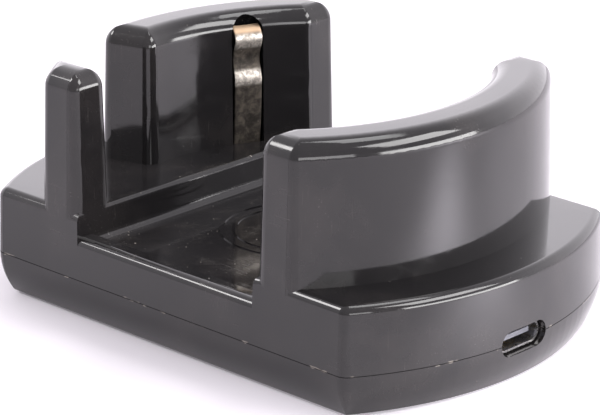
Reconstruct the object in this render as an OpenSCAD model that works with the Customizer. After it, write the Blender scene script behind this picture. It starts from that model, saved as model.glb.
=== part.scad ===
// Charging cradle for a hand-held remote control.
// Millimetres. X runs along the flat front face, Y from front to back, Z up.
// The origin is on the table, under the middle of the cradle.
// Every moulded face leans in a little as it rises, and meets the top in a round edge.

/* [Body] */
// Length over the two curved ends
body_length = 86.6; // [80:0.2:100]
// Depth between the flat front and back faces
body_depth = 56; // [52:0.2:66]
// Radius of the curved ends
end_radius = 49.6; // [48:0.2:60]
// Height of the ledges above the table
base_height = 16.8; // [16:0.1:20]
// Height of the joint between the top housing and the bottom cover
parting_height = 6.8; // [6.6:0.1:8]
// Radius of the upright corners of the base
corner_radius = 1.9; // [1.8:0.1:3]
// Radius of the round edge of the ledges
ledge_round = 1.4; // [0.6:0.1:1.8]
// Lean of the moulded faces, in degrees
side_lean = 1.5; // [0.5:0.1:2.5]
// How far the bottom cover's sides curve in
cover_inset = 2; // [1:0.1:3]
// Thickness of the housing and cover
shell_wall = 2; // [1.6:0.1:2.4]
// Depth of the lip of the bottom cover that rises inside the top housing
lip_rise = 1.2; // [0.8:0.1:2]
// Clearance between the lip and the top housing
lip_clearance = 0.2; // [0.1:0.05:0.4]

/* [Walls] */
// Height of the curved walls above the table
wall_height = 37.4; // [34:0.2:46]
// Outer radius of the walls at their foot
wall_radius = 41.9; // [41:0.1:44]
// Distance from the channel's side to the walls' outer face, at the middle
wall_reach = 18.2; // [17.6:0.1:19]
// Thickness of the walls at their foot
wall_thickness = 10.2; // [9.4:0.1:10.6]
// Radius of the round top edges of the walls
wall_round = 3; // [2:0.1:3.2]
// Radius of the upright corners of the walls
wall_corner = 2.4; // [1.6:0.1:2.8]
// Depth of the front left post
post_depth = 7.8; // [7.6:0.1:9]
// Turn of the end face of the rear left wall, in degrees
gap_face_turn = 16; // [10:0.5:25]
// How far that end face's outer corner lies past the middle
gap_face_start = 8.2; // [4:0.1:9]
// Thickness of the walls' skin around their hollow cores
core_skin = 2.2; // [2:0.1:2.6]

/* [Channel] */
// Width of the channel that the remote stands in
channel_width = 34.8; // [34:0.2:38]
// Height of the channel floor above the table
channel_floor = 11.9; // [11.6:0.1:12.6]
// Height of the lips at the channel's two ends
channel_lip = 13.2; // [13:0.1:15]
// Depth of each lip, measured in from the face
lip_depth = 3.1; // [2.4:0.1:5]
// Radius of the round outer edge of each lip
lip_round = 1.4; // [0.6:0.1:2]
// Radius of the hollow edge along each side of the floor
floor_blend = 1.25; // [0.6:0.05:1.25]
// Radius of the round edge where the channel meets the raised floor
ridge_round = 0.8; // [0.3:0.1:1.5]
// Outer radius of the larger ring moulded on the floor
ring_radius = 11.6; // [8:0.1:14]
// Width of the moulded rings
ring_width = 0.5; // [0.3:0.1:1]
// Height of the moulded rings
ring_height = 0.15; // [0.1:0.01:0.3]
// Step from one ring in to the next
ring_step = 2; // [1:0.1:4]

/* [Contacts] */
// Direction of each contact slot from the middle of its end, in degrees
slot_angle = 24; // [22:0.5:26]
// Width of each contact slot
slot_width = 5.1; // [4.8:0.1:5.6]
// Depth of each contact slot into its wall
slot_depth = 3.8; // [3.7:0.1:4]
// Height of the arched top of each slot above the table
slot_top = 36.8; // [36:0.1:37]
// Width of each leaf contact
leaf_width = 4.4; // [4:0.1:4.4]
// Thickness of the leaf contacts
leaf_thickness = 0.3; // [0.2:0.05:0.35]
// Width of each contact block
block_width = 7.2; // [6.8:0.1:7.2]
// Height of each contact block
block_height = 7.2; // [7:0.1:7.4]
// Length of each contact block, out under its wall
block_length = 8.8; // [8.6:0.1:9]
// Thickness of each block in front of its leaf
block_lip = 1.6; // [1.4:0.1:1.8]
// Clearance round the leaf in its block
leaf_clearance = 0.3; // [0.25:0.05:0.4]

/* [Charging socket] */
// Width over the socket's steel shell
socket_width = 8.94; // [8.94:0.01:8.98]
// Height over the socket's steel shell
socket_height = 3.26; // [3.2:0.01:3.3]
// Length of the socket
socket_length = 7.35; // [7:0.05:7.8]
// Thickness of the shell's sheet
socket_sheet = 0.3; // [0.2:0.01:0.35]
// How far the socket's mouth sits in from the end
socket_setback = 1.3; // [1:0.1:1.6]
// Gap between the shell and its opening in the case
socket_gap = 0.28; // [0.2:0.01:0.4]
// Width of the socket's tongue
tongue_width = 6.69; // [6.4:0.01:6.8]
// Thickness of the socket's tongue
tongue_thickness = 0.7; // [0.6:0.01:0.8]
// Number of pins on each side of the tongue
pin_count = 12; // [6:1:12]

/* [Circuit board] */
// Length of the board
board_length = 31.6; // [30:0.1:32]
// Width of the board
board_width = 24; // [23:0.1:24]
// Thickness of the board
board_thickness = 1.2; // [0.8:0.1:1.6]
// Diameter of the leads
lead_diameter = 1.3; // [1:0.1:1.5]

/* [Screws and feet] */
// Distance between the case screws along the length
screw_spacing_x = 42; // [42:0.1:44]
// Distance between the case screws across the depth
screw_spacing_y = 43; // [42.6:0.1:43]
// Shaft diameter of the case screws
screw_diameter = 2.4; // [2:0.1:2.6]
// Head diameter of the case screws
screw_head = 4.8; // [4.4:0.1:5]
// Length of the case screws below the head
screw_length = 5.6; // [5:0.1:6]
// Diameter of the bosses that the case screws go into
boss_diameter = 5.8; // [5.4:0.1:5.8]
// Clearance round the screws
screw_clearance = 0.1; // [0.05:0.01:0.15]
// Diameter of the rubber feet
foot_diameter = 8; // [6:0.1:10]
// Thickness of the rubber feet
foot_thickness = 1.1; // [0.9:0.1:1.3]
// How far the feet stand out below the cover
foot_proud = 0.5; // [0.4:0.1:0.6]
// Distance between the feet along the length
foot_spacing_x = 58; // [56:0.5:62]
// Distance between the feet across the depth
foot_spacing_y = 26; // [22:0.5:28]

/* [Hidden] */
$fn = 96;

black = [0.03, 0.03, 0.032];
steel = [0.72, 0.71, 0.69];
tarnished = [0.42, 0.37, 0.31];
board_green = [0.05, 0.2, 0.1];

half_length = body_length / 2;
half_depth = body_depth / 2;
half_channel = channel_width / 2;
// the middle of the right end's arcs; the left end is the same shape turned half round
arc_x = half_length - end_radius;
// the middle of the right wall's arcs; the walls keep their place beside the channel
wall_x = half_channel + wall_reach - wall_radius;
inner_radius = wall_radius - wall_thickness;
floor_z = foot_proud;
cover_floor = floor_z + shell_wall;
roof_z = base_height - shell_wall;
channel_roof = channel_floor - shell_wall;
web_x = half_channel + shell_wall;
post_face = half_depth - post_depth;
socket_z = parting_height;
socket_back = half_length - socket_setback - socket_length;
board_top = socket_z - socket_height / 2;
board_bottom = board_top - board_thickness;
board_right = half_length - socket_setback - 3.4;
board_left = board_right - board_length;
span = 3 * body_length;
lead_radius = lead_diameter / 2;

// The point of the arc of radius r round [middle, 0] whose projection on direction a is dist.
function on_arc(middle, a, dist, r, side) =
    let (n = [cos(a), sin(a)], k = dist - n[0] * middle, s = side * sqrt(r * r - k * k))
    [middle + k * n[0] + s * n[1], k * n[1] - s * n[0]];
function direction_from(middle, p) = atan2(p[1], p[0] - middle);

// Round edges and corners stand this much past the faces that they join, so that they cross clearly.
nip = 0.002;
// Step between each round corner and the faces beside it: the corners of the base and the cover
// stand out by it, and those of the walls lie in by it.
corner_step = 0.015;
// The walls' front, back and channel faces lie this much inside the faces of the base that they continue.
flush_step = 0.003;

// Section of a face: the moulding lies on the minus side, leans in and ends in a round edge.
module face_section(reach, foot, top, edge) {
    past = edge < 2 ? nip : 0;
    c = (top - edge - foot) * tan(side_lean) + edge / cos(side_lean);
    edge_start = top - edge + edge * sin(side_lean);
    over = (top + 1 - foot) * tan(side_lean);
    difference() {
        polygon([[-reach, foot], [0, foot], [-over, top + 1], [-over, top], [-reach, top]]);
        difference() {
            translate([-c, edge_start]) square([c + 1, top - edge_start + 2]);
            translate([past - c, top - edge + past]) circle(edge);
        }
    }
}

// Section of the space beside such a face: it widens as it rises, and flares over the round edge.
module space_section(reach, foot, top, edge) {
    c = (top - edge - foot) * tan(side_lean) + edge / cos(side_lean);
    tp = [c - edge * cos(side_lean), top - edge + edge * sin(side_lean)];
    difference() {
        polygon([[-reach, foot], [0, foot], tp, [c, top], [c, top + 2], [-reach, top + 2]]);
        translate([c, top - edge]) circle(edge);
    }
}

module flat_side(a, dist, foot, top, edge)
    rotate([0, 0, a]) translate([dist, 0, 0]) rotate([90, 0, 0])
        linear_extrude(height = span, center = true) face_section(span, foot, top, edge);

module flat_space(a, dist, foot, top, edge)
    rotate([0, 0, a]) translate([dist, 0, 0]) rotate([90, 0, 0])
        linear_extrude(height = span, center = true) space_section(span, foot, top, edge);

module round_side(r, foot, top, edge)
    rotate_extrude($fn = 360) intersection() {
        translate([r, 0]) face_section(r + 5, foot, top, edge);
        translate([0, foot - 1]) square([r + 1, top - foot + 2]);
    }

module round_space(r, foot, top, edge)
    rotate_extrude($fn = 360) intersection() {
        translate([r, 0]) space_section(r + 5, foot, top, edge);
        translate([0, foot - 1]) square([r + 9, top - foot + 4]);
    }

// The corner of a plan shape beyond the two lines square to its faces.
module corner_wedge(p, a, b, r, foot, top)
    translate([0, 0, foot - 1]) linear_extrude(height = top - foot + 4)
        polygon([
            p,
            p + 3 * r * [cos(a), sin(a)],
            p + 3 * r * [cos(a) + cos(b), sin(a) + sin(b)],
            p + 3 * r * [cos(b), sin(b)]
        ]);

// A round upright corner, whose radius shrinks as the faces lean in.
module corner_column(p, r, foot, top, edge)
    translate([p[0], p[1], 0]) rotate_extrude() intersection() {
        translate([r, 0]) face_section(r + 6, foot, top, edge);
        translate([0, foot - 1]) square([r + 6, top - foot + 3]);
    }

// Rounds the listed upright corners, each [point, direction, direction], of the shape.
module round_corners(corners, r, step, foot, top, edge) {
    difference() {
        children();
        for (c = corners) corner_wedge(c[0], c[1], c[2], r, foot, top);
    }
    for (c = corners) intersection() {
        corner_column(c[0], r + step, foot, top, edge);
        corner_wedge(c[0], c[1], c[2], r, foot, top);
    }
}

function base_corner(side_x, side_y, r) =
    let (p = on_arc(arc_x, -90, half_depth - r, end_radius - r, -1), turn = direction_from(arc_x, p))
    [[side_x * p[0], -side_y * p[1]], 90 * side_y, side_x > 0 ? side_y * -turn : 180 + side_y * turn];
base_corners = [for (sx = [-1, 1], sy = [-1, 1]) base_corner(sx, sy, corner_radius)];

// The plan of the base, up to a height.
module base_block(top, edge)
    round_corners(base_corners, corner_radius, corner_step, parting_height, top, edge)
        intersection() {
            translate([arc_x, 0, 0]) round_side(end_radius, parting_height, top, edge);
            translate([-arc_x, 0, 0]) round_side(end_radius, parting_height, top, edge);
            flat_side(90, half_depth, parting_height, top, edge);
            flat_side(-90, half_depth, parting_height, top, edge);
        }

// The plain plan of the base drawn in by an amount, between two heights.
module plain_plan(draw_in, low, high)
    intersection() {
        translate([arc_x, 0, low]) cylinder(r = end_radius - draw_in, h = high - low, $fn = 360);
        translate([-arc_x, 0, low]) cylinder(r = end_radius - draw_in, h = high - low, $fn = 360);
        translate([-half_length, draw_in - half_depth, low])
            cube([body_length, body_depth - 2 * draw_in, high - low]);
    }

// The space of the channel above its lips, with round edges to the raised floors.
module channel_space()
    intersection() {
        flat_space(0, half_channel, parting_height, base_height, ridge_round);
        flat_space(180, half_channel, parting_height, base_height, ridge_round);
    }

// The pocket between the lips, down to the floor.
module floor_pocket() {
    end_blend = channel_lip - channel_floor;
    near = half_depth - lip_depth;
    rotate([90, 0, 90]) linear_extrude(height = channel_width + 4, center = true) {
        translate([end_blend - near, channel_floor])
            square([2 * (near - end_blend), channel_lip - channel_floor + 1]);
        for (s = [-1, 1]) intersection() {
            translate([s * (near - end_blend), channel_lip]) circle(end_blend);
            translate([s * near - (s > 0 ? end_blend : 0), channel_floor - 1])
                square([end_blend, end_blend + 1]);
        }
        translate([-near, channel_lip]) square([2 * near, 1]);
    }
}

// The hollow edges along the two sides of the floor, which end inside the lips.
module floor_blends() {
    r = min(floor_blend, channel_lip - channel_floor - 0.05);
    side_here = half_channel + (channel_floor + r - parting_height) * tan(side_lean);
    middle = [side_here - r + nip, channel_floor + r - nip];
    for (s = [0, 180]) rotate([0, 0, s]) rotate([90, 0, 0])
        linear_extrude(height = body_depth - 2 * lip_depth + 1, center = true) difference() {
            translate([middle[0], channel_floor - 0.5]) square([r + 0.5, middle[1] - channel_floor + 0.5]);
            translate(middle) circle(r);
        }
}

module floor_rings()
    for (k = [0, 1]) translate([0, 0, channel_floor - 0.2]) difference() {
        cylinder(r = ring_radius - k * ring_step, h = ring_height + 0.2, $fn = 180);
        translate([0, 0, -1])
            cylinder(r = ring_radius - k * ring_step - ring_width, h = ring_height + 2.2, $fn = 180);
    }

wall_foot = parting_height;
wall_front = half_depth - flush_step;
wall_side = half_channel + flush_step;
gap_direction = 90 + gap_face_turn;
gap_point = [wall_x + sqrt(pow(wall_radius, 2) - pow(gap_face_start, 2)), gap_face_start];
gap_distance = gap_point[0] * cos(gap_direction) + gap_point[1] * sin(gap_direction);

// An upright corner between a flat face and the outer arc, or the inner arc.
function outer_corner(a, dist, side) =
    let (p = on_arc(wall_x, a, dist - wall_corner, wall_radius - wall_corner, side))
    [p, a, direction_from(wall_x, p)];
function inner_corner(a, dist, side) =
    let (p = on_arc(wall_x, a, dist - wall_corner, inner_radius + wall_corner, side))
    [p, a, direction_from(wall_x, p) + 180];
function square_corner(y, a) = [[wall_side + wall_corner, y], 180, a];

front_corners = [
    square_corner(wall_corner - wall_front, 270),
    outer_corner(-90, wall_front, -1)
];
back_corners = [
    square_corner(wall_front - wall_corner, 90),
    outer_corner(90, wall_front, 1)
];
// where the remote's side of a wall meets its channel side, in front and behind
front_edge = inner_corner(180, -wall_side, -1);
back_edge = inner_corner(180, -wall_side, 1);

// A wall's outer arc, and the space inside its inner arc.
module wall_block()
    translate([wall_x, 0, 0]) round_side(wall_radius, wall_foot, wall_height, wall_round);

module inner_space()
    translate([wall_x, 0, 0]) round_space(inner_radius, wall_foot, wall_height, wall_round);

// The right wall: one arc from the front face to the back face.
module right_wall()
    round_corners(concat(front_corners, back_corners, [front_edge, back_edge]), wall_corner, -corner_step,
        wall_foot, wall_height, wall_round)
        difference() {
            intersection() {
                wall_block();
                flat_side(180, -wall_side, wall_foot, wall_height, wall_round);
                flat_side(-90, wall_front, wall_foot, wall_height, wall_round);
                flat_side(90, wall_front, wall_foot, wall_height, wall_round);
            }
            inner_space();
        }

// The rear left wall, drawn at the right front and turned half round where it is placed.
module short_wall() {
    corners = concat(front_corners, [
        outer_corner(gap_direction, gap_distance, 1),
        inner_corner(gap_direction, gap_distance, 1),
        front_edge
    ]);
    round_corners(corners, wall_corner, -corner_step, wall_foot, wall_height, wall_round)
        difference() {
            intersection() {
                wall_block();
                flat_side(gap_direction, gap_distance, wall_foot, wall_height, wall_round);
                flat_side(180, -wall_side, wall_foot, wall_height, wall_round);
                flat_side(-90, wall_front, wall_foot, wall_height, wall_round);
            }
            inner_space();
        }
}

// The front left post, the end of the same arc past the gap. It is drawn at the right back
// and turned half round where it is placed.
module post() {
    corners = concat(back_corners, [
        square_corner(post_face + wall_corner, 270),
        outer_corner(-90, -post_face, -1)
    ]);
    round_corners(corners, wall_corner, -corner_step, wall_foot, wall_height, wall_round)
        intersection() {
            wall_block();
            flat_side(180, -wall_side, wall_foot, wall_height, wall_round);
            flat_side(90, wall_front, wall_foot, wall_height, wall_round);
            flat_side(-90, -post_face, wall_foot, wall_height, wall_round);
        }
}

// A hollow core inside a wall, between two directions.
module wall_core(from, to)
    translate([wall_x, 0, 0]) rotate([0, 0, from]) rotate_extrude(angle = to - from, $fn = 180)
        translate([inner_radius + core_skin, roof_z - 0.5])
            square([wall_thickness - 2 * core_skin, wall_height - 5 - roof_z]);

module post_core()
    intersection() {
        translate([wall_x, 0, roof_z - 0.5])
            cylinder(r = wall_radius - core_skin, h = wall_height - 5 - roof_z, $fn = 180);
        translate([half_channel + core_skin, post_face + core_skin, roof_z - 1])
            cube([wall_radius, post_depth - 2 * core_skin, wall_height - 4 - roof_z]);
    }

// Places its child at the right end's contact, with +X pointing out through the wall.
module at_contact()
    translate([wall_x, 0, 0]) rotate([0, 0, -slot_angle]) translate([inner_radius, 0, 0]) children();

// The slot opens through the raised floor, just in front of the wall's foot.
wall_foot_radius = inner_radius + (base_height - wall_foot) * tan(side_lean);
slot_start = min(0, sqrt(pow(wall_foot_radius, 2) - pow(slot_width / 2, 2)) - inner_radius - 0.05);
module contact_slot()
    at_contact() translate([slot_start, 0, 0]) {
        translate([0, -slot_width / 2, roof_z - 1])
            cube([slot_depth - slot_start, slot_width, slot_top - slot_width / 2 - roof_z + 1]);
        translate([0, 0, slot_top - slot_width / 2]) rotate([0, 90, 0])
            cylinder(d = slot_width, h = slot_depth - slot_start);
    }

// The cores start this far past the slots, in degrees.
core_start = asin((slot_width / 2 + 1.6) / inner_radius) - slot_angle;

// The opening that the charging socket shows through.
module socket_opening() {
    w = socket_width + 2 * socket_gap;
    h = socket_height + 2 * socket_gap;
    translate([half_length - 8, 0, socket_z]) rotate([0, 90, 0]) {
        for (s = [-1, 1]) translate([0, s * (w - h) / 2, 0]) cylinder(d = h, h = 12);
        translate([-h / 2, -(w - h) / 2, 0]) cube([h, w - h, 12]);
    }
}

screw_places = [for (sx = [-1, 1], sy = [-1, 1]) [sx * screw_spacing_x / 2, sy * screw_spacing_y / 2]];
screw_seat = floor_z + 3.4;
block_low = roof_z - block_height;
leaf_middle = 0.9;
block_start = leaf_middle - leaf_thickness / 2 - leaf_clearance - block_lip;
block_screw_x = block_start + block_length - 2;
leaf_foot = block_low + 2;
leaf_hinge = leaf_foot + 0.9;
// Height of the leads above the blocks' undersides
lead_lift = 1.1;

module top_housing() color(black) {
    difference() {
        union() {
            difference() {
                base_block(base_height, ledge_round);
                channel_space();
            }
            difference() {
                base_block(channel_lip, lip_round);
                floor_pocket();
            }
            floor_blends();
            floor_rings();
            right_wall();
            rotate([0, 0, 180]) short_wall();
            rotate([0, 0, 180]) post();
        }
        difference() {
            plain_plan(shell_wall, parting_height - 1, roof_z);
            translate([-web_x, -half_depth, channel_roof])
                cube([2 * web_x, body_depth, base_height]);
            for (p = screw_places) translate([p[0], p[1], parting_height])
                cylinder(d = boss_diameter, h = base_height);
        }
        wall_core(core_start, 34);
        rotate([0, 0, 180]) {
            wall_core(core_start, 0);
            post_core();
        }
        for (p = screw_places) translate([p[0], p[1], parting_height - 1])
            cylinder(d = screw_diameter + screw_clearance, h = screw_seat + screw_length + 1.3 - parting_height);
        for (a = [0, 180]) rotate([0, 0, a]) {
            contact_slot();
            at_contact() translate([block_screw_x, 0, roof_z - 1]) cylinder(d = 1.6 + screw_clearance, h = 2.3);
        }
        socket_opening();
    }
}

// The bottom cover's curved side, between the underside and the joint.
curve_drop = parting_height - floor_z;
curve_radius = (curve_drop * curve_drop + cover_inset * cover_inset) / (2 * cover_inset);
module cover_section(reach) {
    translate([-reach, floor_z]) square([reach - cover_inset - 0.6, curve_drop]);
    intersection() {
        translate([-curve_radius, parting_height]) circle(curve_radius, $fn = 360);
        translate([-cover_inset - 1, floor_z]) square([cover_inset + 2, curve_drop]);
    }
}

module cover_round(r)
    rotate_extrude($fn = 360) intersection() {
        translate([r, 0]) cover_section(r + 5);
        square([r + 1, parting_height + 1]);
    }

module cover_flat(a)
    rotate([0, 0, a]) translate([half_depth, 0, 0]) rotate([90, 0, 0])
        linear_extrude(height = span, center = true) cover_section(span);

module cover_block() {
    difference() {
        intersection() {
            translate([arc_x, 0, 0]) cover_round(end_radius);
            translate([-arc_x, 0, 0]) cover_round(end_radius);
            cover_flat(90);
            cover_flat(-90);
        }
        for (c = base_corners) corner_wedge(c[0], c[1], c[2], corner_radius, floor_z, parting_height);
    }
    for (c = base_corners) intersection() {
        translate([c[0][0], c[0][1], 0]) cover_round(corner_radius + corner_step);
        corner_wedge(c[0], c[1], c[2], corner_radius, floor_z, parting_height);
    }
}

board_holes = [for (x = [board_left + 3, board_right - 6.5], s = [-1, 1]) [x, s * (board_width / 2 - 3)]];
foot_places = [for (sx = [-1, 1], sy = [-1, 1]) [sx * foot_spacing_x / 2, sy * foot_spacing_y / 2]];

module bottom_cover() color(black) {
    rim = shell_wall + lip_clearance + 0.8;
    difference() {
        union() {
            cover_block();
            plain_plan(shell_wall + lip_clearance, cover_floor, parting_height + lip_rise);
        }
        difference() {
            plain_plan(rim, cover_floor, parting_height + lip_rise + 1);
            for (p = screw_places) translate([p[0], p[1], 0]) cylinder(d = screw_head + 2.6, h = parting_height);
            for (p = board_holes) translate([p[0], p[1], 0]) cylinder(d = 4, h = board_bottom);
        }
        for (p = screw_places) translate([p[0], p[1], floor_z - 1]) {
            cylinder(d = screw_head + 0.4, h = screw_seat - floor_z + 1);
            cylinder(d = screw_diameter + 0.4, h = base_height);
            translate([0, 0, parting_height - floor_z + 1]) cylinder(d = boss_diameter + 0.4, h = base_height);
        }
        for (p = board_holes) translate([p[0], p[1], cover_floor - 1])
            cylinder(d = 1.6 + screw_clearance, h = base_height);
        for (p = foot_places) translate([p[0], p[1], floor_z - 1])
            cylinder(d = foot_diameter + 0.2, h = 1 + foot_thickness - foot_proud);
        socket_opening();
    }
}

// The leaf's middle line: out of the block and straight up the slot, over a bend back into
// a hollow, out again over the top bend and back behind the arch.
leaf_knots = [
    [leaf_middle, leaf_foot], [leaf_middle, leaf_foot + 4], [leaf_middle, base_height - 0.5],
    [0.75, base_height + 2], [0.55, base_height + 6], [0.4, base_height + 9],
    [0.38, base_height + 10.2], [0.72, base_height + 11.2], [1.15, base_height + 12.3],
    [1.25, base_height + 13.4], [0.95, base_height + 14.6], [0.42, base_height + 15.6],
    [0.15, base_height + 16.4], [0.4, base_height + 17.2], [1.1, base_height + 17.9],
    [1.9, base_height + 18.2]
];
function knot(i) = leaf_knots[max(0, min(len(leaf_knots) - 1, i))];
function spline(a, b, c, d, t) =
    0.5 * (2 * b + (c - a) * t + (2 * a - 5 * b + 4 * c - d) * t * t + (3 * b - a - 3 * c + d) * t * t * t);
leaf_line = concat(
    [for (i = [0 : len(leaf_knots) - 2], k = [0 : 3])
        spline(knot(i - 1), knot(i), knot(i + 1), knot(i + 2), k / 4)],
    [leaf_knots[len(leaf_knots) - 1]]
);
function leaf_normal(i) =
    let (d = leaf_line[min(i + 1, len(leaf_line) - 1)] - leaf_line[max(i - 1, 0)])
    [d[1], -d[0]] / norm(d);

module leaf()
    at_contact() rotate([90, 0, 0]) linear_extrude(height = leaf_width, center = true)
        polygon(concat(
            [for (i = [0 : len(leaf_line) - 1]) leaf_line[i] + leaf_normal(i) * leaf_thickness / 2],
            [for (i = [len(leaf_line) - 1 : -1 : 0]) leaf_line[i] - leaf_normal(i) * leaf_thickness / 2]
        ));

module right_contact() color(tarnished) leaf();
module left_contact() color(tarnished) rotate([0, 0, 180]) leaf();

// The block that holds a leaf's foot under the raised floor.
module contact_block()
    at_contact() difference() {
        translate([block_start, -block_width / 2, block_low]) cube([block_length, block_width, block_height]);
        translate([
            leaf_middle - leaf_thickness / 2 - leaf_clearance,
            -leaf_width / 2 - leaf_clearance,
            leaf_foot - leaf_clearance
        ])
            cube([leaf_thickness + 2 * leaf_clearance, leaf_width + 2 * leaf_clearance, block_height]);
        translate([leaf_middle, -leaf_width / 2 - leaf_clearance, roof_z - 1.6])
            cube([1.1, leaf_width + 2 * leaf_clearance, 3]);
        translate([block_screw_x, 0, block_low - 1]) {
            cylinder(d = 1.6 + screw_clearance, h = block_height + 2);
            cylinder(d = 3.1, h = 2.6);
        }
        translate([block_start - 1, 0, block_low + lead_lift]) rotate([0, 90, 0])
            cylinder(d = lead_diameter + 0.3, h = 1 + block_lip);
    }

module right_contact_block() color([0.85, 0.84, 0.8]) contact_block();
module left_contact_block() color([0.85, 0.84, 0.8]) rotate([0, 0, 180]) contact_block();

module block_screws() color(steel)
    for (a = [0, 180]) rotate([0, 0, a]) at_contact() translate([block_screw_x, 0, 0]) difference() {
        union() {
            translate([0, 0, block_low + 1.6 - 1.1]) cylinder(d = 2.8, h = 1.1);
            translate([0, 0, block_low + 1.6]) cylinder(d = 1.6, h = block_height - 0.6);
        }
        translate([-1, -0.2, block_low]) cube([2, 0.4, 0.9]);
        translate([-0.2, -1, block_low]) cube([0.4, 2, 0.9]);
    }

module slot_shape(w, h) {
    square([w - h, h], center = true);
    for (s = [-1, 1]) translate([s * (w - h) / 2, 0]) circle(d = h);
}

// The socket lies along X with its mouth at +X.
module at_socket() translate([socket_back, 0, socket_z]) rotate([90, 0, 90]) children();

module socket_shell() color(steel) {
    at_socket() linear_extrude(height = socket_length) difference() {
        slot_shape(socket_width, socket_height);
        slot_shape(socket_width - 2 * socket_sheet, socket_height - 2 * socket_sheet);
    }
    for (x = [1.2, 4.9], s = [-1, 1])
        translate([socket_back + x - 0.45, s * (socket_width / 2 - socket_sheet / 2) - 0.15, board_bottom + 0.1])
            cube([0.9, 0.3, socket_z - board_bottom - 0.1]);
}

tongue_length = 4.45;
plug_depth = 0.9;
back_depth = socket_length - plug_depth - tongue_length;
module socket_tongue() color([0.12, 0.12, 0.13]) {
    at_socket() linear_extrude(height = back_depth)
        slot_shape(socket_width - 2 * socket_sheet, socket_height - 2 * socket_sheet);
    translate([socket_back + back_depth - 0.5, -tongue_width / 2, socket_z - tongue_thickness / 2])
        cube([tongue_length + 0.5, tongue_width, tongue_thickness]);
}

pin_step = 0.5;
module socket_pins() color([0.85, 0.7, 0.35])
    for (i = [0 : pin_count - 1]) let (y = (i - (pin_count - 1) / 2) * pin_step) {
        for (s = [-1, 1])
            translate([socket_back + back_depth, y - 0.12, socket_z + s * (tongue_thickness / 2 + 0.03) - 0.03])
                cube([3.4, 0.24, 0.06]);
        translate([socket_back - 0.8, y - 0.12, board_top]) cube([0.8, 0.24, 0.15]);
    }

module circuit_board() color(board_green)
    difference() {
        translate([board_left, -board_width / 2, board_bottom])
            cube([board_length, board_width, board_thickness]);
        for (p = board_holes) translate([p[0], p[1], board_bottom - 1])
            cylinder(d = 1.6 + 2 * screw_clearance, h = board_thickness + 2);
        for (x = [1.2, 4.9], s = [-1, 1])
            translate([socket_back + x - 0.5, s * (socket_width / 2 - socket_sheet / 2) - 0.25, board_bottom - 1])
                cube([1, 0.5, board_thickness + 2]);
    }

chip_x = board_left + 15.5;
module charging_chip() color([0.05, 0.05, 0.05]) {
    translate([chip_x - 2.5, -6.2, board_top]) cube([5, 5, 0.9]);
    for (i = [0 : 3], s = [-1, 1])
        translate([chip_x + s * 2.9 - 0.5, -5.35 + i * 1.05, board_top]) cube([1, 0.4, 0.2]);
}

module power_inductor() color([0.2, 0.2, 0.21])
    translate([chip_x, 4.4, board_top]) {
        difference() {
            translate([-3.2, -3.2, 0]) cube([6.4, 6.4, 2.8]);
            translate([0, 0, 2.4]) cylinder(d = 5, h = 1);
        }
        translate([0, 0, 2.3]) cylinder(d = 3.4, h = 0.4);
    }

module capacitors() color([0.62, 0.5, 0.36])
    for (p = [[-6, -4], [-6, -1], [5.5, -9.5], [5.5, 3], [8.5, 3]])
        translate([chip_x + p[0] - 1, p[1], board_top]) cube([2, 1.25, 1.1]);

module resistors() color([0.06, 0.06, 0.07])
    for (p = [[-9, 2], [-9, 4], [-9, 6], [0, -9.5], [2.4, -9.5], [-6, 2.5]])
        translate([chip_x + p[0] - 0.8, p[1], board_top]) cube([1.6, 0.8, 0.5]);

connector_x = board_left + 0.6;
module lead_connector() color([0.9, 0.88, 0.8])
    difference() {
        translate([connector_x, -3.6, board_top]) cube([4.4, 6, 3]);
        for (y = [-2, 0.8]) translate([connector_x - 1, y, board_top + 1.5]) rotate([0, 90, 0])
            cylinder(d = lead_diameter + 0.1, h = 3.4);
    }

// Each lead's route, from the connector to the hole in its contact block.
function lead_end(turn, out) =
    let (r = inner_radius + block_start + out, s = turn > 0 ? -1 : 1)
    [s * (wall_x + r * cos(slot_angle)), -s * r * sin(slot_angle), block_low + lead_lift];
function between(a, b, t) = a + (b - a) * t;
right_turn = [connector_x - 0.6, -11.4, board_top + 1.4];
left_turn = [connector_x - 4, 1.2, board_top + 1.4];
right_route = [
    [connector_x + 2, -2, board_top + 1.5], [connector_x - 1, -2, board_top + 1.5],
    [connector_x - 3, -3.4, board_top + 1.4], [connector_x - 3.8, -6.5, board_top + 1.2],
    [connector_x - 3, -9.4, board_top + 1.2], right_turn,
    between(right_turn, lead_end(0, -4), 0.5) + [0, -0.8, 0],
    lead_end(0, -4), lead_end(0, -2), lead_end(0, -0.4), lead_end(0, 0.6)
];
left_route = [
    [connector_x + 2, 0.8, board_top + 1.5], [connector_x - 1, 0.8, board_top + 1.5], left_turn,
    between(left_turn, lead_end(180, -4), 0.35) + [0, -0.9, -0.2],
    between(left_turn, lead_end(180, -4), 0.7) + [0, -0.6, -0.1],
    lead_end(180, -4), lead_end(180, -2), lead_end(180, -0.4), lead_end(180, 0.6)
];
function route_point(route, i) = route[max(0, min(len(route) - 1, i))];
function route_line(route) = concat(
    [for (i = [0 : len(route) - 2], k = [0 : 3])
        spline(route_point(route, i - 1), route_point(route, i), route_point(route, i + 1), route_point(route, i + 2), k / 4)],
    [route[len(route) - 1]]
);
function unit(v) = v / norm(v);
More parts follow.
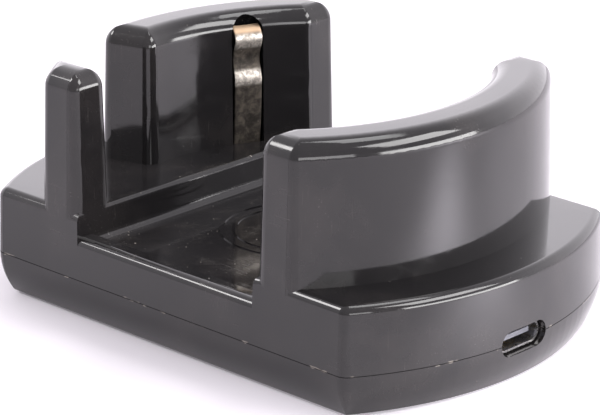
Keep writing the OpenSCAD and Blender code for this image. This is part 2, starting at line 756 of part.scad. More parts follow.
module lead(route) {
    line = route_line(route);
    n = len(line);
    sides = 10;
    rings = [for (i = [0 : n - 1])
        let (
            d = unit(line[min(i + 1, n - 1)] - line[max(i - 1, 0)]),
            u = unit(cross(d, [0, 0, 1])),
            v = cross(d, u)
        )
        for (k = [0 : sides - 1])
            line[i] + lead_radius * (cos(360 * k / sides) * u + sin(360 * k / sides) * v)
    ];
    polyhedron(points = rings, faces = concat(
        [[for (k = [0 : sides - 1]) k]],
        [for (i = [0 : n - 2], k = [0 : sides - 1]) let (a = i * sides + k, b = i * sides + (k + 1) % sides)
            each [[a, a + sides, b], [b, a + sides, b + sides]]],
        [[for (k = [sides - 1 : -1 : 0]) (n - 1) * sides + k]]
    ));
}

module positive_lead() color([0.6, 0.04, 0.03]) lead(right_route);
module negative_lead() color([0.03, 0.03, 0.03]) lead(left_route);

module board_screws() color(steel)
    for (p = board_holes) translate([p[0], p[1], 0]) difference() {
        union() {
            translate([0, 0, board_top]) cylinder(d = 3, h = 1.1);
            translate([0, 0, cover_floor - 0.6]) cylinder(d = 1.6, h = board_top - cover_floor + 0.7);
        }
        translate([-1, -0.2, board_top + 0.6]) cube([2, 0.4, 1]);
        translate([-0.2, -1, board_top + 0.6]) cube([0.4, 2, 1]);
    }

module case_screws() color(steel)
    for (p = screw_places) translate([p[0], p[1], 0]) difference() {
        union() {
            translate([0, 0, screw_seat - 1.7]) cylinder(d = screw_head, h = 1.7);
            translate([0, 0, screw_seat - 0.1]) cylinder(d = screw_diameter, h = screw_length + 0.1);
        }
        translate([-1.4, -0.3, screw_seat - 2]) cube([2.8, 0.6, 1.2]);
        translate([-0.3, -1.4, screw_seat - 2]) cube([0.6, 2.8, 1.2]);
    }

module foot(i) color([0.05, 0.05, 0.05])
    translate([foot_places[i][0], foot_places[i][1], 0]) cylinder(d = foot_diameter, h = foot_thickness);

top_housing();
bottom_cover();
left_contact();
right_contact();
left_contact_block();
right_contact_block();
block_screws();
socket_shell();
socket_tongue();
socket_pins();
circuit_board();
charging_chip();
power_inductor();
capacitors();
resistors();
lead_connector();
positive_lead();
negative_lead();
board_screws();
case_screws();
for (i = [0 : 3])
    foot(i);
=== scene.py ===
import math

import bmesh
import bpy
import numpy as np
from mathutils import Matrix, Vector


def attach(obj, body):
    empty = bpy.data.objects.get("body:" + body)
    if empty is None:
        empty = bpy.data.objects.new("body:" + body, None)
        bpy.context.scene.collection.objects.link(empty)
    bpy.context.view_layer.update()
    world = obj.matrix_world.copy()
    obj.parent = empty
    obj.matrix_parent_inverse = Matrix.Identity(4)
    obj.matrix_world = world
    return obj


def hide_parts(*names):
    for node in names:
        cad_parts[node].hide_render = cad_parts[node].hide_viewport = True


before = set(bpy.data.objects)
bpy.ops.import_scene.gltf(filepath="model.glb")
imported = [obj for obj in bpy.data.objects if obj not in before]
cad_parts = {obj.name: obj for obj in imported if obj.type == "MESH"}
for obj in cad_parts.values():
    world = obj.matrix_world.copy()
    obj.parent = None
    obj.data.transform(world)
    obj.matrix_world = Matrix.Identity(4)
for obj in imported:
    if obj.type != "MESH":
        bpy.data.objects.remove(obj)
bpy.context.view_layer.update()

print("frame loaded:", len(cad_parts), "parts of the charging cradle")

mm = 0.001
tiny = 1e-20    # keeps a division by a length of nothing from failing
scene = bpy.context.scene
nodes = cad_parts


# shader kit
class Signal:
    # wraps a number socket, so that arithmetic on it adds Math nodes
    def __init__(self, kit, socket):
        self.kit, self.socket = kit, socket

    def math(self, operation, first, second=None, clamp=False):
        values = {0: first} if second is None else {0: first, 1: second}
        settings = {"operation": operation, "use_clamp": clamp}
        return self.kit.out(self.kit.add("ShaderNodeMath", settings, values))

    def __add__(self, other):
        return self.math("ADD", self, other)

    def __radd__(self, other):
        return self.math("ADD", other, self)

    def __sub__(self, other):
        return self.math("SUBTRACT", self, other)

    def __rsub__(self, other):
        return self.math("SUBTRACT", other, self)

    def __mul__(self, other):
        return self.math("MULTIPLY", self, other)

    def __rmul__(self, other):
        return self.math("MULTIPLY", other, self)

    def __truediv__(self, other):
        return self.math("DIVIDE", self, other)

    def __rtruediv__(self, other):
        return self.math("DIVIDE", other, self)

    def __pow__(self, other):
        return self.math("POWER", self, other)

    def __rpow__(self, other):
        return self.math("POWER", other, self)

    def __lt__(self, other):
        return self.math("LESS_THAN", self, other)

    def __gt__(self, other):
        return self.math("GREATER_THAN", self, other)

    def __abs__(self):
        return self.math("ABSOLUTE", self)

    def clipped(self):
        return self.math("ADD", self, 0.0, clamp=True)

    def ramp(self, low, high, toLow=0.0, toHigh=1.0):
        # goes from toLow to toHigh while the signal goes from low to high
        settings = {"interpolation_type": "SMOOTHSTEP"}
        sockets = {"Value": self, "From Min": low, "From Max": high, "To Min": toLow, "To Max": toHigh}
        return self.kit.out(self.kit.add("ShaderNodeMapRange", settings, sockets))


class Kit:
    # one material's node tree, with one method that adds any node
    def __init__(self, tree):
        self.tree = tree
        tree.nodes.clear()

    def add(self, kind, settings=None, sockets=None):
        # settings are set first; a socket takes a link, a number, a vector or a colour of three numbers
        node = self.tree.nodes.new(kind)
        for name, value in (settings or {}).items():
            setattr(node, name, value)
        for name, value in (sockets or {}).items():
            target = node.inputs[name]
            if isinstance(value, Signal):
                self.tree.links.new(value.socket, target)
            elif isinstance(value, bpy.types.NodeSocket):
                self.tree.links.new(value, target)
            elif target.type == "RGBA":
                target.default_value = (*value, 1.0)
            else:
                target.default_value = value
        return node

    def out(self, node, name=0):
        return Signal(self, node.outputs[name])

    def place(self, scale=(1.0, 1.0, 1.0), turn=(0.0, 0.0, 0.0)):
        # Object coordinates in millimetres, stretched and turned as asked
        coords = self.add("ShaderNodeTexCoord").outputs["Object"]
        sockets = {"Vector": coords, "Rotation": turn, "Scale": tuple(s / mm for s in scale)}
        return self.add("ShaderNodeMapping", {}, sockets).outputs["Vector"]

    def noise(self, where, size, detail=3.0, rough=0.5, distort=0.0):
        # soft noise from 0 to 1, with features of about size millimetres
        sockets = {
            "Vector": where, "Scale": 1.0 / size, "Detail": detail, "Roughness": rough, "Distortion": distort,
        }
        return self.out(self.add("ShaderNodeTexNoise", {}, sockets))

    def specks(self, where, cell, radius, share):
        # round specks: a share of the cells hold one each, 0.4 to 1.2 times the radius, with a soft edge
        sockets = {"Vector": where, "Scale": 1.0 / cell}
        cells = self.add("ShaderNodeTexVoronoi", {"feature": "F1"}, sockets)
        draw = self.add("ShaderNodeSeparateColor", {}, {"Color": cells.outputs["Color"]})
        pick, size = self.out(draw, 0), self.out(draw, 1)
        reach = (size * 0.8 + 0.4) * (radius / cell)
        near = (1.0 - self.out(cells, "Distance") / reach).clipped()
        return near.ramp(0.0, 0.5) * (pick < share)

    def mix(self, share, first, second):
        # a colour between two colours: the node's sockets 0, 6 and 7 are the share and the two colours
        settings = {"data_type": "RGBA"}
        return self.add("ShaderNodeMix", settings, {0: share, 6: first, 7: second}).outputs[2]

    def bump(self, height, depth, strength=1.0, under=None):
        # depth is the height of the relief in millimetres
        sockets = {"Height": height, "Strength": strength, "Distance": depth * mm}
        if under is not None:
            sockets["Normal"] = under
        return self.add("ShaderNodeBump", {}, sockets).outputs["Normal"]

    def principled(self, **finish):
        sockets = {name.replace("_", " "): value for name, value in finish.items()}
        return self.add("ShaderNodeBsdfPrincipled", {}, sockets).outputs[0]


def newMaterial(name):
    material = bpy.data.materials.new(name)
    material.use_nodes = True
    kit = Kit(material.node_tree)
    return material, kit


def closeMaterial(kit, shader):
    kit.add("ShaderNodeOutputMaterial", {}, {"Surface": shader})


def dress(nodeName, material):
    # gives a part from the frame its finish
    mesh = nodes[nodeName].data
    if not mesh.materials:
        mesh.materials.append(material)
    for i in range(len(mesh.materials)):
        mesh.materials[i] = material


# housing plastic: every size, height and depth is in millimetres
glossBlack = {
    "colour": (0.0120, 0.0113, 0.0119),
    "wornColour": (0.034, 0.030, 0.029),
    "dustColour": (0.40, 0.36, 0.31),
    "gapColour": (0.003, 0.003, 0.003),
    "shine": 0.065,           # roughness of a clean area
    "smudge": 0.08,           # roughness that the smears add
    "wiped": 0.05,            # roughness that the wipe marks add
    "scratched": 0.22,        # roughness that the scratches add
    "smearSize": 9.0,
    "wipeSize": 0.9,
    "wipeAcrossSize": 0.8,
    "scratchSize": 0.35,
    "scratchDepth": 0.0012,
    "patchSize": 14.0,        # size of the areas that are scratched
    "channelHalf": 19.5,      # dust gathers this near the middle plane
    "channelTop": 17.5,       # and below this height
    "dustPatchSize": 6.0,
    "filmSize": 1.6,
    "dust": {"cell": 0.8, "radius": 0.15, "share": 0.42},
    "lint": {"cell": 2.6, "radius": 0.12, "share": 0.16},
    "dustHeight": 0.03,
    "jointHeight": 6.8,       # above the table
    "jointHalf": 0.055,
    "nickSize": 0.9,
    "nickReach": 0.28,        # how far from the joint a nick may reach
    "peelDepth": 0.0016,      # the faint waviness of a moulded face
    "peelSizes": (1.7, 6.5),
}


def makeGlossBlack():
    look = glossBlack
    material, kit = newMaterial("glossBlackPlastic")
    here = kit.place()
    parts = kit.add("ShaderNodeSeparateXYZ", {}, {"Vector": here})
    x, y, z = (kit.out(parts, i) for i in range(3))
    normal = kit.add("ShaderNodeTexCoord").outputs["Normal"]
    upward = kit.out(kit.add("ShaderNodeSeparateXYZ", {}, {"Vector": normal}), 2).ramp(0.35, 0.85)

    # broad smears, fine wipe marks and, in patches, scratches along two directions
    smear = kit.noise(here, look["smearSize"], 4.0, 0.6, 0.6).ramp(0.42, 0.72)
    lengthwise = kit.place((0.12, 0.9, 0.9), (0.3, 0.2, 0.6))
    crosswise = kit.place((0.9, 0.1, 0.7), (0.9, 0.4, 0.1))
    wipe = kit.noise(lengthwise, look["wipeSize"], 3.0, 0.6).ramp(0.5, 0.8)
    wipeAcross = kit.noise(crosswise, look["wipeAcrossSize"], 2.0, 0.6).ramp(0.55, 0.85)
    fineLengthwise = kit.place((0.05, 1.3, 1.3), (0.2, 0.5, 1.1))
    fineCrosswise = kit.place((1.2, 1.2, 0.05), (0.7, 0.25, 0.3))
    scratch = kit.noise(fineLengthwise, look["scratchSize"], 1.0, 0.5).ramp(0.66, 0.74)
    scratchAcross = kit.noise(fineCrosswise, look["scratchSize"], 1.0, 0.5).ramp(0.67, 0.75)
    patch = kit.noise(here, look["patchSize"], 3.0, 0.6).ramp(0.45, 0.7)
    lines = (scratch + scratchAcross).clipped() * patch

    # dust lies on what faces up, most of all in the channel, in patches
    inChannel = (abs(x) < look["channelHalf"]) * (z < look["channelTop"])
    dustPatch = kit.noise(here, look["dustPatchSize"], 4.0, 0.65).ramp(0.42, 0.68)
    dust = kit.specks(here, **look["dust"]) * dustPatch * upward * (inChannel * 0.75 + 0.25)
    lint = kit.specks(here, **look["lint"]) * (0.35 + upward * 0.65)
    film = kit.noise(here, look["filmSize"], 5.0, 0.7).ramp(0.45, 0.80) * dustPatch * upward * inChannel

    # the fine joint between the housing and the cover, with a few nicks along it
    fromJoint = abs(z - look["jointHeight"])
    joint = 1.0 - fromJoint.ramp(look["jointHalf"] * 0.7, look["jointHalf"] * 1.3)
    nickRun = kit.noise(kit.place((0.35, 0.35, 1.0)), look["nickSize"], 2.0, 0.6).ramp(0.60, 0.68)
    nicks = nickRun * (1.0 - fromJoint.ramp(0.03, look["nickReach"]))

    colour = kit.mix(patch * 0.35 + lines * 0.5, look["colour"], look["wornColour"])
    colour = kit.mix(film * 0.10, colour, look["dustColour"])
    colour = kit.mix((dust * 0.8 + lint * 0.55 + nicks * 0.6).clipped(), colour, look["dustColour"])
    rough = look["shine"] + smear * look["smudge"] + (wipe + wipeAcross) * look["wiped"]
    rough = rough + lines * look["scratched"] + film * 0.3
    rough = (rough + dust * 0.6 + lint * 0.5 + nicks * 0.3).clipped()

    fineSize, broadSize = look["peelSizes"]
    peel = kit.noise(here, fineSize, 2.0, 0.5) + kit.noise(here, broadSize, 1.0, 0.5) * 2.5
    relief = kit.bump(peel, look["peelDepth"], 0.6)
    relief = kit.bump(0.0 - lines, look["scratchDepth"], 0.5, relief)
    relief = kit.bump((dust + lint).clipped(), look["dustHeight"], 0.5, relief)

    plastic = kit.principled(Base_Color=colour, Roughness=rough, IOR=1.5, Normal=relief)
    dark = kit.add("ShaderNodeBsdfDiffuse", {}, {"Color": look["gapColour"], "Roughness": 1.0}).outputs[0]
    both = kit.add("ShaderNodeMixShader", {}, {0: joint * 0.92, 1: plastic, 2: dark}).outputs[0]
    closeMaterial(kit, both)
    return material


gloss = makeGlossBlack()


# moulded shells
shellLook = {
    "creaseAngle": 27.0,      # degrees
    "mergeDistance": 0.0005,  # millimetres
}


def smoothShell(nodeName, pieceName):
    # a copy of the moulding, with its loose triangles joined; each corner of a triangle gets a normal of
    # its own: the mean over the triangles round that point that lean less than the crease angle from this
    # one, each counted by its area times its angle there
    mesh = nodes[nodeName].data.copy()
    mesh.name = pieceName
    joined = bmesh.new()
    joined.from_mesh(mesh)
    bmesh.ops.remove_doubles(joined, verts=joined.verts, dist=shellLook["mergeDistance"] * mm)
    joined.to_mesh(mesh)
    joined.free()

    count, loops = len(mesh.polygons), len(mesh.loops)
    points = np.empty(len(mesh.vertices) * 3)
    mesh.vertices.foreach_get("co", points)
    corner = np.empty(loops, np.int64)
    mesh.loops.foreach_get("vertex_index", corner)
    spots = points.reshape(-1, 3)[corner.reshape(count, 3)]
    edges = np.roll(spots, -1, axis=1) - spots
    flat = np.cross(edges[:, 0], edges[:, 1])
    area = np.linalg.norm(flat, axis=1)
    flat = flat / np.maximum(area, tiny)[:, None]
    back = -np.roll(edges, 1, axis=1)
    lengths = np.linalg.norm(edges, axis=2) * np.linalg.norm(back, axis=2)
    angle = np.arccos(np.clip((edges * back).sum(2) / np.maximum(lengths, tiny), -1.0, 1.0))
    weight = (area[:, None] * angle).ravel()
    normal = np.repeat(flat, 3, axis=0)

    # every pair of corners, first and second, that meet at one point
    order = np.argsort(corner, kind="stable")
    meeting = np.bincount(corner)
    start = np.concatenate([[0], np.cumsum(meeting)[:-1]])
    mine = meeting[corner]
    first = np.repeat(np.arange(loops), mine)
    step = np.arange(mine.sum()) - np.repeat(np.cumsum(mine) - mine, mine)
    second = order[np.repeat(start[corner], mine) + step]
    close = (normal[first] * normal[second]).sum(1) > math.cos(math.radians(shellLook["creaseAngle"]))
    share = np.where(close, weight[second], 0.0)
    mean = np.stack([np.bincount(first, share * normal[second, k], loops) for k in range(3)], axis=1)
    size = np.linalg.norm(mean, axis=1)[:, None]
    mean = np.where(size > tiny, mean / np.maximum(size, tiny), normal)

    mesh.polygons.foreach_set("use_smooth", np.ones(count, bool))
    mesh.normals_split_custom_set(mean.tolist())
    mesh.materials.clear()
    mesh.materials.append(gloss)
    piece = bpy.data.objects.new(pieceName, mesh)
    scene.collection.objects.link(piece)
    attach(piece, "housing")
    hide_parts(nodeName)


smoothShell("top_housing", "upperShell")
smoothShell("bottom_cover", "lowerShell")
print("moulded shells made smooth")


# leaf contacts, in millimetres
leafContact = {
    "arcMiddleX": -6.3,       # the walls' inner faces are arcs about this point
    "faceRadius": 31.7,
    "slotAngle": 24.0,        # degrees from the cradle's long axis
    "width": 4.4,
    "thickness": 0.3,
    "edgeRound": 0.1,
    "facePoints": 15,         # points across the strip's face
    "edgePoints": 5,          # points round each of its edges
    "crown": 0.06,            # how far the strip bows across its width
    "dent": 0.012,
    "ripple": 0.008,
    "heldBelow": 17.5,        # the strip is flat and true below this height
    "samples": 14,            # rings between two knots
    # the middle line: distance outwards from the face, and height
    "knots": [
        (0.9, 9.6), (0.9, 13.6), (0.9, 16.3), (0.75, 18.8), (0.55, 22.8), (0.4, 25.8), (0.38, 27.0),
        (0.72, 28.0), (1.15, 29.1), (1.25, 30.2), (0.95, 31.4), (0.42, 32.4), (0.15, 33.2), (0.4, 34.0),
        (1.1, 34.7), (1.9, 35.0),
    ],
}


def signedVolume(mesh):
    # the sum over the triangles of corner . (corner x corner) / 6
    mesh.calc_loop_triangles()
    tri = np.empty(len(mesh.loop_triangles) * 3, np.int64)
    mesh.loop_triangles.foreach_get("vertices", tri)
    co = np.empty(len(mesh.vertices) * 3)
    mesh.vertices.foreach_get("co", co)
    p = co.reshape(-1, 3)[tri.reshape(-1, 3)]
    return float((p[:, 0] * np.cross(p[:, 1], p[:, 2])).sum() / 6)


def makeLeaf(pieceName, nodeName, body, halfTurn, seed, material):
    # the middle line is a curve through the knots: each span blends its four knots by cubic weights;
    # a rounded bar section of the strip's width and thickness is carried along it, square to the line
    look = leafContact
    knots = np.array(look["knots"])
    padded = np.vstack([knots[:1], knots, knots[-1:]])
    t = np.linspace(0.0, 1.0, look["samples"], endpoint=False)[None, :, None]
    a, b, c, d = (padded[i:len(knots) - 1 + i, None, :] for i in range(4))
    line = 2 * b + (c - a) * t + (2 * a - 5 * b + 4 * c - d) * t ** 2 + (3 * b - a - 3 * c + d) * t ** 3
    line = np.vstack([0.5 * line.reshape(-1, 2), knots[-1:]])
    along = np.gradient(line, axis=0)
    along /= np.linalg.norm(along, axis=1)[:, None]
    square = np.stack([along[:, 1], -along[:, 0]], axis=1)

    # the section: a flat bar whose two edges are half round, with points spread evenly across it
    half, thick, edge = look["width"] / 2, look["thickness"] / 2, look["edgeRound"]
    across = np.linspace(-half + edge, half - edge, look["facePoints"])
    turn = np.radians(np.linspace(-90, 90, look["edgePoints"] + 2)[1:-1])
    right = np.stack([half - edge + edge * np.cos(turn), thick * np.sin(turn)], axis=1)
    top = np.stack([across[::-1], np.full(len(across), thick)], axis=1)
    bottom = np.stack([across, np.full(len(across), -thick)], axis=1)
    section = np.vstack([bottom, right, top, -right])
    u, v = section[:, 0], section[:, 1]

    # above its slot's foot the strip bows across its width and has shallow dents, sums of sine waves
    rows, sides = len(line), len(section)
    length = np.arange(rows)[:, None] / rows
    phase = np.random.default_rng(seed).uniform(0, 2 * math.pi, 3)
    dents = np.sin(9 * length + 0.9 * u + phase[0]) + np.sin(17 * length - 1.4 * u + phase[1])
    dents = look["dent"] * dents + look["ripple"] * np.sin(31 * length + 2.3 * u + phase[2])
    free = np.clip((line[:, 1:2] - look["heldBelow"]) / 2.0, 0.0, 1.0)
    lift = v[None, :] + free * (dents - look["crown"] * (u[None, :] / half) ** 2)
    out = line[:, 0:1] + square[:, 0:1] * lift
    up = line[:, 1:2] + square[:, 1:2] * lift
    side = np.broadcast_to(u[None, :], out.shape)

    # the strip stands at the slot's angle in the right wall, or half a turn on in the left wall
    angle = math.radians(look["slotAngle"])
    r = look["faceRadius"] + out
    px = look["arcMiddleX"] + r * math.cos(angle) + side * math.sin(angle)
    py = -r * math.sin(angle) + side * math.cos(angle)
    flip = -1.0 if halfTurn else 1.0
    points = np.stack([px * flip, py * flip, up], axis=2).reshape(-1, 3) * mm

    ring, place = np.meshgrid(np.arange(rows - 1), np.arange(sides), indexing="ij")
    here, beside = ring * sides + place, ring * sides + (place + 1) % sides
    quads = np.stack([here, beside, beside + sides, here + sides], axis=2).reshape(-1, 4).tolist()
    ends = [list(range(sides))[::-1], list(range((rows - 1) * sides, rows * sides))]
    mesh = bpy.data.meshes.new(pieceName)
    mesh.from_pydata(points.tolist(), [], quads + ends)
    mesh.polygons.foreach_set("use_smooth", [True] * len(quads) + [False] * len(ends))
    mesh.update()
    mesh.materials.append(material)
    if signedVolume(mesh) < 0:
        mesh.flip_normals()
    piece = bpy.data.objects.new(pieceName, mesh)
    scene.collection.objects.link(piece)
    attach(piece, body)
    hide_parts(nodeName)


tarnishedLeaf = {
    "metal": (0.74, 0.69, 0.62),
    "tarnish": (0.115, 0.098, 0.080),
    "copper": (0.62, 0.45, 0.30),
    "grime": (0.030, 0.026, 0.022),
    "wornAndLitBendHeights": (33.0, 27.2),        # the two bends that the remote rubs bright and that are also painted brighter as a highlight, in millimetres
    "copperFrom": 34.0,                 # the bare end starts at this height
    "pits": {"cell": 0.55, "radius": 0.10, "share": 0.35},
    "brightPits": {"cell": 0.7, "radius": 0.09, "share": 0.18},
    "dull": 0.50,                       # roughness of the tarnish
}


def makeTarnished():
    look = tarnishedLeaf
    material, kit = newMaterial("tarnishedLeafMetal")
    here = kit.place()
    z = kit.out(kit.add("ShaderNodeSeparateXYZ", {}, {"Vector": here}), 2)
    blotch = kit.noise(here, 1.5, 5.0, 0.65, 0.4)
    grain = kit.noise(here, 0.35, 4.0, 0.7)
    worn = kit.noise(here, 0.8, 4.0, 0.7, 0.5).ramp(0.40, 0.62)
    high, low = look["wornAndLitBendHeights"]
    # painted highlight: the two bends are painted as bright bare metal, partly for the remote's rubbing and
    # partly for the light they catch
    rubbedAndLitBends = (1.0 - abs(z - high).ramp(0.5, 1.5)) + (1.0 - abs(z - low).ramp(0.5, 1.5))
    top = z.ramp(look["copperFrom"], look["copperFrom"] + 0.6)
    shine = (rubbedAndLitBends * (0.45 + worn * 0.75)).clipped()
    tarnish = kit.mix(blotch.ramp(0.35, 0.7), look["grime"], look["tarnish"])
    colour = kit.mix(shine, tarnish, look["metal"])
    colour = kit.mix(top * 0.85, colour, look["copper"])
    pits = kit.specks(here, **look["pits"]) * (1.0 - top * 0.7)
    brightPits = kit.specks(here, **look["brightPits"]) * (1.0 - top)
    colour = kit.mix(pits * 0.75, colour, look["grime"])
    colour = kit.mix(brightPits * 0.6, colour, look["metal"])
    rough = (look["dull"] - shine * 0.16 + grain * 0.2 + pits * 0.2).clipped()
    metallic = (0.72 + shine * 0.25).clipped()
    relief = kit.bump(blotch + grain * 0.6, 0.03, 0.7)
    relief = kit.bump(0.0 - pits, 0.02, 0.7, relief)
    closeMaterial(kit, kit.principled(Base_Color=colour, Metallic=metallic, Roughness=rough, Normal=relief))
    return material


leafMetal = makeTarnished()
makeLeaf("rightLeafContact", "right_contact", "right_leaf", False, 11, leafMetal)
makeLeaf("leftLeafContact", "left_contact", "left_leaf", True, 23, leafMetal)
print("leaf contacts made")


# finishes of the other parts; mottle is how far the colour varies, sizes and relief are in millimetres
metalFinishes = {
    "socketSteel": {"colour": (0.62, 0.61, 0.60), "rough": 0.22, "grain": 0.4},
    "pinGold": {"colour": (0.83, 0.62, 0.28), "rough": 0.26, "grain": 0.3},
    "screwSteel": {"colour": (0.46, 0.45, 0.44), "rough": 0.34, "grain": 0.5},
}
plasticFinishes = {
    "tonguePlastic": {
        "colour": (0.16, 0.165, 0.19), "rough": 0.35, "mottle": 0.25, "size": 0.4, "relief": 0.002,
    },
    "blockPlastic": {
        "colour": (0.62, 0.60, 0.53), "rough": 0.45, "mottle": 0.12, "size": 1.2, "relief": 0.004,
    },
    "chipPlastic": {
        "colour": (0.020, 0.020, 0.021), "rough": 0.55, "mottle": 0.3, "size": 0.15, "relief": 0.006,
    },
    "ferrite": {
        "colour": (0.055, 0.053, 0.055), "rough": 0.6, "mottle": 0.35, "size": 0.3, "relief": 0.01,
    },
    "capacitorCeramic": {
        "colour": (0.42, 0.29, 0.17), "rough": 0.42, "mottle": 0.2, "size": 0.3, "relief": 0.003,
    },
    "resistorGlaze": {
        "colour": (0.018, 0.018, 0.022), "rough": 0.25, "mottle": 0.2, "size": 0.3, "relief": 0.002,
    },
    "connectorNylon": {
        "colour": (0.70, 0.67, 0.56), "rough": 0.5, "mottle": 0.1, "size": 0.9, "relief": 0.003,
    },
    "redLead": {
        "colour": (0.42, 0.018, 0.012), "rough": 0.38, "mottle": 0.15, "size": 0.8, "relief": 0.003,
    },
    "blackLead": {
        "colour": (0.016, 0.016, 0.017), "rough": 0.38, "mottle": 0.15, "size": 0.8, "relief": 0.003,
    },
    "footRubber": {
        "colour": (0.022, 0.021, 0.021), "rough": 0.82, "mottle": 0.4, "size": 0.25, "relief": 0.02,
    },
}
boardLook = {
    "mask": (0.012, 0.085, 0.040),
    "track": (0.035, 0.170, 0.075),
    "pad": (0.55, 0.52, 0.46),
    "laneScale": 0.45,        # lanes to a millimetre
    "pads": {"cell": 2.1, "radius": 0.3, "share": 0.35},
}


def shaded(colour, share):
    # a colour made darker or paler, and no brighter than white
    return tuple(min(1.0, share * c) for c in colour)


def makeMetal(name, look):
    # brushed along one direction, with darker stains
    material, kit = newMaterial(name)
    here = kit.place()
    grain = kit.noise(kit.place((0.15, 1.0, 1.0)), 0.12, 3.0, 0.6)
    stain = kit.noise(here, 1.3, 4.0, 0.6).ramp(0.45, 0.75)
    colour = kit.mix(stain * 0.4, look["colour"], shaded(look["colour"], 0.45))
    rough = (look["rough"] + grain * 0.12 * look["grain"] + stain * 0.12).clipped()
    relief = kit.bump(grain, 0.004, look["grain"])
    closeMaterial(kit, kit.principled(Base_Color=colour, Metallic=1.0, Roughness=rough, Normal=relief))
    return material


def makePlastic(name, look):
    # fine mottling over broad clouds, both in colour and in roughness
    material, kit = newMaterial(name)
    here = kit.place()
    mottle = kit.noise(here, look["size"], 4.0, 0.6)
    cloud = kit.noise(here, look["size"] * 6, 3.0, 0.5).ramp(0.35, 0.7)
    dark = shaded(look["colour"], 1 - look["mottle"])
    pale = shaded(look["colour"], 1 + look["mottle"] * 0.6)
    colour = kit.mix(mottle.ramp(0.3, 0.7) * 0.6 + cloud * 0.4, dark, pale)
    rough = (look["rough"] + cloud * 0.08 + mottle * 0.06).clipped()
    relief = kit.bump(mottle, look["relief"], 0.8)
    closeMaterial(kit, kit.principled(Base_Color=colour, Roughness=rough, IOR=1.5, Normal=relief))
    return material


def makeBoard():
    # the copper tracks show through the mask as paler lanes, where a blocky cell's edge is near
    look = boardLook
    material, kit = newMaterial("boardMask")
    here = kit.place((1.0, 1.0, 0.0))
    settings = {"feature": "F1", "distance": "CHEBYCHEV"}
    cells = kit.add("ShaderNodeTexVoronoi", settings, {"Vector": here, "Scale": look["laneScale"]})
    lanes = kit.out(cells, "Distance").ramp(0.42, 0.5)
    pads = kit.specks(here, **look["pads"])
    colour = kit.mix(lanes, look["mask"], look["track"])
    colour = kit.mix(pads, colour, look["pad"])
    relief = kit.bump(lanes, 0.03, 0.6)
    rough = (0.32 - pads * 0.1 + lanes * 0.05).clipped()
    metallic = pads * 0.9
    closeMaterial(kit, kit.principled(Base_Color=colour, Roughness=rough, Metallic=metallic, Normal=relief))
    return material


finish = {name: makeMetal(name, look) for name, look in metalFinishes.items()}
finish.update({name: makePlastic(name, look) for name, look in plasticFinishes.items()})
finish.update({"boardMask": makeBoard(), "glossBlack": gloss, "leafMetal": leafMetal})
wearing = {
    "glossBlack": ["top_housing", "bottom_cover"],
    "leafMetal": ["left_contact", "right_contact"],
    "blockPlastic": ["left_contact_block", "right_contact_block"],
    "screwSteel": ["block_screws", "board_screws", "case_screws"],
    "socketSteel": ["socket_shell"],
    "tonguePlastic": ["socket_tongue"],
    "pinGold": ["socket_pins"],
    "boardMask": ["circuit_board"],
    "chipPlastic": ["charging_chip"],
    "ferrite": ["power_inductor"],
    "capacitorCeramic": ["capacitors"],
    "resistorGlaze": ["resistors"],
    "connectorNylon": ["lead_connector"],
    "redLead": ["positive_lead"],
    "blackLead": ["negative_lead"],
    "footRubber": ["foot_1", "foot_2", "foot_3", "foot_4"],
}
for finishName, nodeNames in wearing.items():
    for nodeName in nodeNames:
        dress(nodeName, finish[finishName])
print("finishes given to", sum(len(names) for names in wearing.values()), "parts")


# table
tableTop = {
    "halfSize": 1.6,          # metres
    "steps": 8,               # faces along each side
    "colour": (0.69, 0.665, 0.70),
    "rough": 0.8,
    "tint": (1.0, 0.95, 1.03),
    "glow": 0.12,             # radiance everywhere
    "brightest": 6.0,         # radiance that a glow share of 1 stands for
    # soft pools of light painted on the table as glow: middle and half sizes in millimetres, turn in degrees,
    # radiance
    "paintedPools": [
        {"middle": (100.0, 28.0), "along": 46.0, "across": 17.0, "turn": 37.5, "glow": 4.0},
        {"middle": (74.0, 62.0), "along": 62.0, "across": 26.0, "turn": 62.0, "glow": 0.55},
        {"middle": (70.0, -44.0), "along": 22.0, "across": 14.0, "turn": -20.0, "glow": 0.2},
        {"middle": (300.0, 160.0), "along": 100.0, "across": 85.0, "turn": 28.0, "glow": 6.0},
    ],
}


def makeTable():
    # a level square grid
    look = tableTop
    corners = look["steps"] + 1
    row = np.linspace(-look["halfSize"], look["halfSize"], corners)
    gx, gy = np.meshgrid(row, row, indexing="ij")
    points = np.stack([gx, gy, np.zeros_like(gx)], axis=2).reshape(-1, 3)
    i, j = np.meshgrid(np.arange(look["steps"]), np.arange(look["steps"]), indexing="ij")
    here = i * corners + j
    quads = np.stack([here, here + corners, here + corners + 1, here + 1], axis=2).reshape(-1, 4)
    mesh = bpy.data.meshes.new("paleTable")
    mesh.from_pydata(points.tolist(), [], quads.tolist())

    material, kit = newMaterial("paleTable")
    here = kit.place()
    colour = kit.mix(kit.noise(here, 60.0, 2.0, 0.5), look["colour"], shaded(look["colour"], 1.02))
    # each painted pool of light adds its radiance times exp(-(u^2 + v^2)), with u and v counted in its half
    # sizes
    spot = kit.add("ShaderNodeSeparateXYZ", {}, {"Vector": here})
    level = look["glow"]
    for pool in look["paintedPools"]:
        dx, dy = (kit.out(spot, i) - pool["middle"][i] for i in range(2))
        turn = math.radians(pool["turn"])
        u = (dx * math.cos(turn) + dy * math.sin(turn)) / pool["along"]
        v = (dy * math.cos(turn) - dx * math.sin(turn)) / pool["across"]
        level = level + math.e ** ((u * u + v * v) * -1.0) * pool["glow"]
    brightest = tuple(look["brightest"] * c for c in look["tint"])
    glow = kit.mix(level / look["brightest"], (0.0, 0.0, 0.0), brightest)
    rough = look["rough"]
    # the table glows evenly, and more in the painted pools of light
    shader = kit.principled(Base_Color=colour, Roughness=rough, Emission_Color=glow, Emission_Strength=1.0)
    closeMaterial(kit, shader)
    mesh.materials.append(material)
    piece = bpy.data.objects.new("paleTable", mesh)
    scene.collection.objects.link(piece)


makeTable()


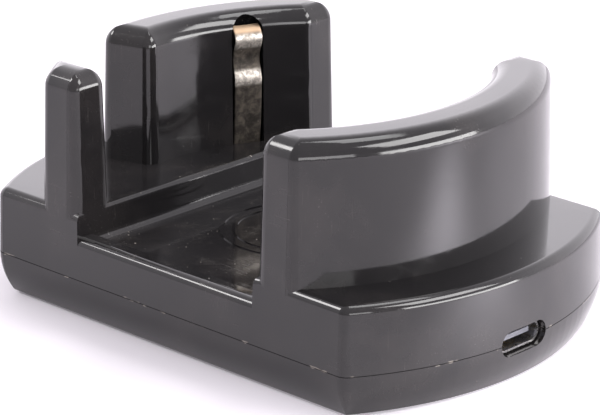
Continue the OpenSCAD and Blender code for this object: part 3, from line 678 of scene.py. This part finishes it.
# studio light
studio = {
    "skyTint": (1.00, 0.96, 1.02),
    "behind": (-0.685, 0.729),          # the level direction that the camera looks in
    "behindSky": 2.55,
    "frontSky": 0.65,
    "zenithSky": 0.75,
    "aim": (0.0, 0.0, 0.02),            # what the softboxes face, in metres
    # softboxes: direction from the cradle and height above the horizon in degrees, distance and size in
    # metres, radiance
    "boxes": {
        "lowRightBox": {
            "azimuth": 20.0, "height": 7.0, "distance": 1.3, "size": (1.05, 0.33), "radiance": 13.0,
            "colour": (1.0, 0.985, 0.98),
        },
        "highRightBox": {
            "azimuth": 25.0, "height": 44.0, "distance": 1.2, "size": (0.70, 0.42), "radiance": 10.0,
            "colour": (1.0, 0.985, 0.98),
        },
        "frontBox": {
            "azimuth": -24.0, "height": 13.0, "distance": 1.3, "size": (0.50, 0.30), "radiance": 5.0,
            "colour": (1.0, 0.985, 0.99),
        },
        "leftBox": {
            "azimuth": -140.0, "height": 42.0, "distance": 1.0, "size": (0.26, 0.30), "radiance": 14.0,
            "colour": (1.0, 0.98, 0.97),
        },
        "topBox": {
            "azimuth": 75.0, "height": 70.0, "distance": 1.0, "size": (0.40, 0.26), "radiance": 5.0,
            "colour": (1.0, 1.0, 1.0),
        },
    },
}


def makeSky():
    # bright behind the cradle, dim behind the camera and overhead
    world = bpy.data.worlds.new("paleStudio")
    scene.world = world
    world.use_nodes = True
    kit = Kit(world.node_tree)
    way = kit.add("ShaderNodeTexCoord").outputs["Generated"]
    parts = kit.add("ShaderNodeSeparateXYZ", {}, {"Vector": way})
    x, y, z = (kit.out(parts, i) for i in range(3))
    towards = x * studio["behind"][0] + y * studio["behind"][1]
    level = towards.ramp(-0.55, 0.85, studio["frontSky"], studio["behindSky"])
    strength = level + (studio["zenithSky"] - level) * z.ramp(0.40, 0.95)
    sky = kit.add("ShaderNodeBackground", {}, {"Color": studio["skyTint"], "Strength": strength})
    kit.add("ShaderNodeOutputWorld", {}, {"Surface": sky.outputs[0]})


def makeSoftbox(name, box):
    # a flat light of the given radiance: its power is that times pi times its area
    light = bpy.data.lights.new(name, "AREA")
    light.shape = "RECTANGLE"
    light.size, light.size_y = box["size"]
    light.color = box["colour"]
    light.energy = box["radiance"] * math.pi * box["size"][0] * box["size"][1]
    lamp = bpy.data.objects.new(name, light)
    scene.collection.objects.link(lamp)
    turn, rise = math.radians(box["azimuth"]), math.radians(box["height"])
    way = Vector((math.cos(turn) * math.cos(rise), math.sin(turn) * math.cos(rise), math.sin(rise)))
    lamp.location = Vector(studio["aim"]) + way * box["distance"]
    lamp.rotation_mode = "QUATERNION"
    lamp.rotation_quaternion = (-way).to_track_quat("-Z", "Y")


makeSky()
for boxName, box in studio["boxes"].items():
    makeSoftbox(boxName, box)


# camera: its place in metres, its three directions, and its lens and sensor in millimetres
view = {
    "place": (0.294648, -0.313106, 0.170344),
    "right": (0.72705235, 0.68655369, 0.00623854),
    "up": (-0.23728835, 0.24273838, 0.94062337),
    "back": (0.64427411, -0.68536276, 0.3393947),
    "lens": 187.227,
    "sensor": 36.0,
    "near": 0.02,
    "far": 20.0,
}


def makeCamera():
    data = bpy.data.cameras.new("studioCamera")
    data.lens, data.sensor_width, data.sensor_fit = view["lens"], view["sensor"], "HORIZONTAL"
    data.clip_start, data.clip_end = view["near"], view["far"]
    camera = bpy.data.objects.new("studioCamera", data)
    scene.collection.objects.link(camera)
    turn = Matrix([view["right"], view["up"], view["back"]]).transposed()
    camera.matrix_world = Matrix.Translation(view["place"]) @ turn.to_4x4()
    scene.camera = camera


makeCamera()
scene.view_settings.view_transform = "Standard"
print("table, studio light and camera set")
